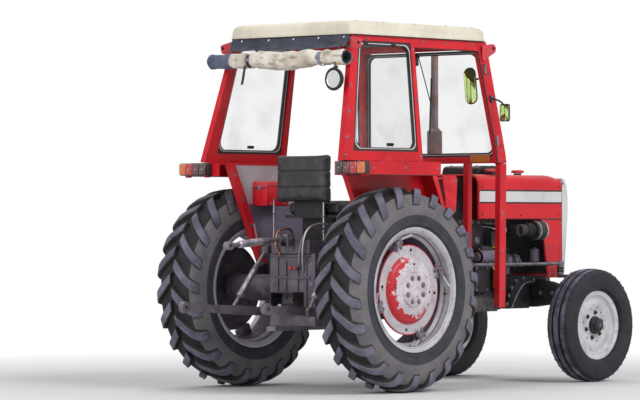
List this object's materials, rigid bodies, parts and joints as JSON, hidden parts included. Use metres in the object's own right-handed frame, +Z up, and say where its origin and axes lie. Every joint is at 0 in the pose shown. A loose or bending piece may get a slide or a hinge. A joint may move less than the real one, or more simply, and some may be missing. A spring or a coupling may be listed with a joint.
{
  "type": "farm tractor with cab",
  "caption": "Farm tractor with an open-sided cab on large rear wheels: wheels roll, the steering turns the front wheels, and the rear lift arms and links swing.",
  "frame": {"origin": "middle of the bounding box, on the ground", "axes": "+X forward, +Y to the tractor's left, +Z up"},
  "size_m": [3.2199, 1.655, 2.292],
  "materials": {
    "red_paint": "gloss with scuffs",
    "roof_cream": "satin, weathered",
    "white_paint": "gloss",
    "silver_paint": "satin",
    "black_paint": "satin",
    "cast_dark": "oily",
    "tyre": "dusty",
    "glass": "dusty clear",
    "steel": "worn",
    "floor_steel": "worn",
    "curtain": "coated cloth",
    "seat_vinyl": "vinyl",
    "steering_plastic": "satin",
    "lamp_lens": "gloss",
    "lamp_glass": "clear",
    "mirror": "mirror"
  },
  "bodies": {
    "chassis": {"rear_axle_housing": "cast_dark", "gearbox_housing": "cast_dark", "engine_block": "cast_dark", "front_support": "black_paint", "front_axle_beam": "black_paint", "bonnet": "red_paint", "grille_surround": "white_paint", "nose_panels": "red_paint", "front_grille": "black_paint", "radiator": "black_paint", "headlamps": "lamp_glass", "exhaust": "steel", "engine_accessories": "cast_dark", "dash_cowl": "black_paint", "controls": "black_paint", "cab_floor": "floor_steel", "cab_front_frame": "red_paint", "cab_rear_frame": "red_paint", "cab_side_right": "red_paint", "cab_side_left": "red_paint", "roof": "roof_cream", "windows": "glass", "fender_right": "red_paint", "fender_left": "red_paint", "rear_lamps": "lamp_lens", "work_lamp": "black_paint", "mirrors": "mirror", "rear_curtain": "curtain", "seat_frame": "black_paint", "seat_cushions": "seat_vinyl", "toolbox": "red_paint", "pto_shaft": "steel", "pto_guard": "black_paint", "drawbar": "steel"},
    "steering_wheel": {"steering_wheel": "steering_plastic"},
    "rear_wheel_right": {"rear_tyre_right": "tyre", "rear_rim_right": "silver_paint", "rear_centre_right": "silver_paint"},
    "knuckle_right": {"knuckle_right": "cast_dark"},
    "front_wheel_right": {"front_tyre_right": "tyre", "front_wheel_right": "silver_paint"},
    "drag_link_right": {"drag_link_right": "steel"},
    "drop_arm_right": {"drop_arm_right": "cast_dark"},
    "rear_wheel_left": {"rear_tyre_left": "tyre", "rear_rim_left": "silver_paint", "rear_centre_left": "silver_paint"},
    "knuckle_left": {"knuckle_left": "cast_dark"},
    "front_wheel_left": {"front_tyre_left": "tyre", "front_wheel_left": "silver_paint"},
    "drag_link_left": {"drag_link_left": "steel"},
    "drop_arm_left": {"drop_arm_left": "cast_dark"},
    "lower_link_right": {"lower_link_right": "cast_dark"},
    "lift_rod_right": {"lift_rod_right": "steel"},
    "lower_link_left": {"lower_link_left": "cast_dark"},
    "lift_rod_left": {"lift_rod_left": "steel"},
    "lift_arms": {"lift_arms": "cast_dark"},
    "top_link": {"top_link": "steel"}
  },
  "joints": [
    {"name": "roll_rear_right", "type": "hinge", "parent": "chassis", "child": "rear_wheel_right", "pos_m": [-0.745, -0.67, 0.63], "axis": [0, 1, 0], "continuous": true},
    {"name": "steer_right", "type": "hinge", "parent": "chassis", "child": "knuckle_right", "pos_m": [1.24, -0.475, 0.37], "axis": [0, 0, 1], "range_deg": [-45, 45]},
    {"name": "roll_front_right", "type": "hinge", "parent": "knuckle_right", "child": "front_wheel_right", "pos_m": [1.24, -0.62, 0.37], "axis": [0, 1, 0], "continuous": true},
    {"name": "link_eye_right", "type": "hinge", "parent": "knuckle_right", "child": "drag_link_right", "pos_m": [1.24, -0.37, 0.77], "axis": [0, 0, 1], "range_deg": [-45, 45]},
    {"name": "drop_swing_right", "type": "hinge", "parent": "chassis", "child": "drop_arm_right", "pos_m": [0.305, -0.34, 0.95], "axis": [0, 1, 0], "range_deg": [-25, 25]},
    {"name": "roll_rear_left", "type": "hinge", "parent": "chassis", "child": "rear_wheel_left", "pos_m": [-0.745, 0.67, 0.63], "axis": [0, 1, 0], "continuous": true},
    {"name": "steer_left", "type": "hinge", "parent": "chassis", "child": "knuckle_left", "pos_m": [1.24, 0.475, 0.37], "axis": [0, 0, 1], "range_deg": [-45, 45]},
    {"name": "roll_front_left", "type": "hinge", "parent": "knuckle_left", "child": "front_wheel_left", "pos_m": [1.24, 0.62, 0.37], "axis": [0, 1, 0], "continuous": true},
    {"name": "link_eye_left", "type": "hinge", "parent": "knuckle_left", "child": "drag_link_left", "pos_m": [1.24, 0.37, 0.77], "axis": [0, 0, 1], "range_deg": [-45, 45]},
    {"name": "drop_swing_left", "type": "hinge", "parent": "chassis", "child": "drop_arm_left", "pos_m": [0.305, 0.34, 0.95], "axis": [0, 1, 0], "range_deg": [-25, 25]},
    {"name": "wheel_turn", "type": "hinge", "parent": "chassis", "child": "steering_wheel", "pos_m": [-0.085, 0, 1.29], "axis": [-0.5, 0, 0.866], "range_deg": [-540, 540]},
    {"name": "lift", "type": "hinge", "parent": "chassis", "child": "lift_arms", "pos_m": [-0.705, 0, 0.89], "axis": [0, 1, 0], "range_deg": [-20, 38]},
    {"name": "link_swing_right", "type": "hinge", "parent": "chassis", "child": "lower_link_right", "pos_m": [-0.685, -0.235, 0.47], "axis": [0, 1, 0], "range_deg": [-8.5, 16]},
    {"name": "rod_swing_right", "type": "hinge", "parent": "lift_arms", "child": "lift_rod_right", "pos_m": [-0.915, -0.277, 0.872], "axis": [0, 1, 0], "range_deg": [-38.3, 20.2]},
    {"name": "link_swing_left", "type": "hinge", "parent": "chassis", "child": "lower_link_left", "pos_m": [-0.685, 0.235, 0.47], "axis": [0, 1, 0], "range_deg": [-8.5, 16]},
    {"name": "rod_swing_left", "type": "hinge", "parent": "lift_arms", "child": "lift_rod_left", "pos_m": [-0.915, 0.277, 0.872], "axis": [0, 1, 0], "range_deg": [-38.3, 20.2]},
    {"name": "top_link_swing", "type": "hinge", "parent": "chassis", "child": "top_link", "pos_m": [-1.022, 0, 0.945], "axis": [0, 1, 0], "range_deg": [-30, 45]}
  ],
  "couplings": [
    {"joint": "link_eye_right", "follows": "steer_right", "ratio": -1},
    {"joint": "drop_swing_right", "follows": "steer_right", "ratio": 0.54},
    {"joint": "steer_left", "follows": "steer_right", "ratio": 1},
    {"joint": "link_eye_left", "follows": "steer_right", "ratio": -1},
    {"joint": "drop_swing_left", "follows": "steer_right", "ratio": -0.54},
    {"joint": "wheel_turn", "follows": "steer_right", "ratio": 12},
    {"joint": "link_swing_right", "follows": "lift", "ratio": 0.4191},
    {"joint": "rod_swing_right", "follows": "lift", "ratio": -1.0055},
    {"joint": "link_swing_left", "follows": "lift", "ratio": 0.4191},
    {"joint": "rod_swing_left", "follows": "lift", "ratio": -1.0055}
  ]
}
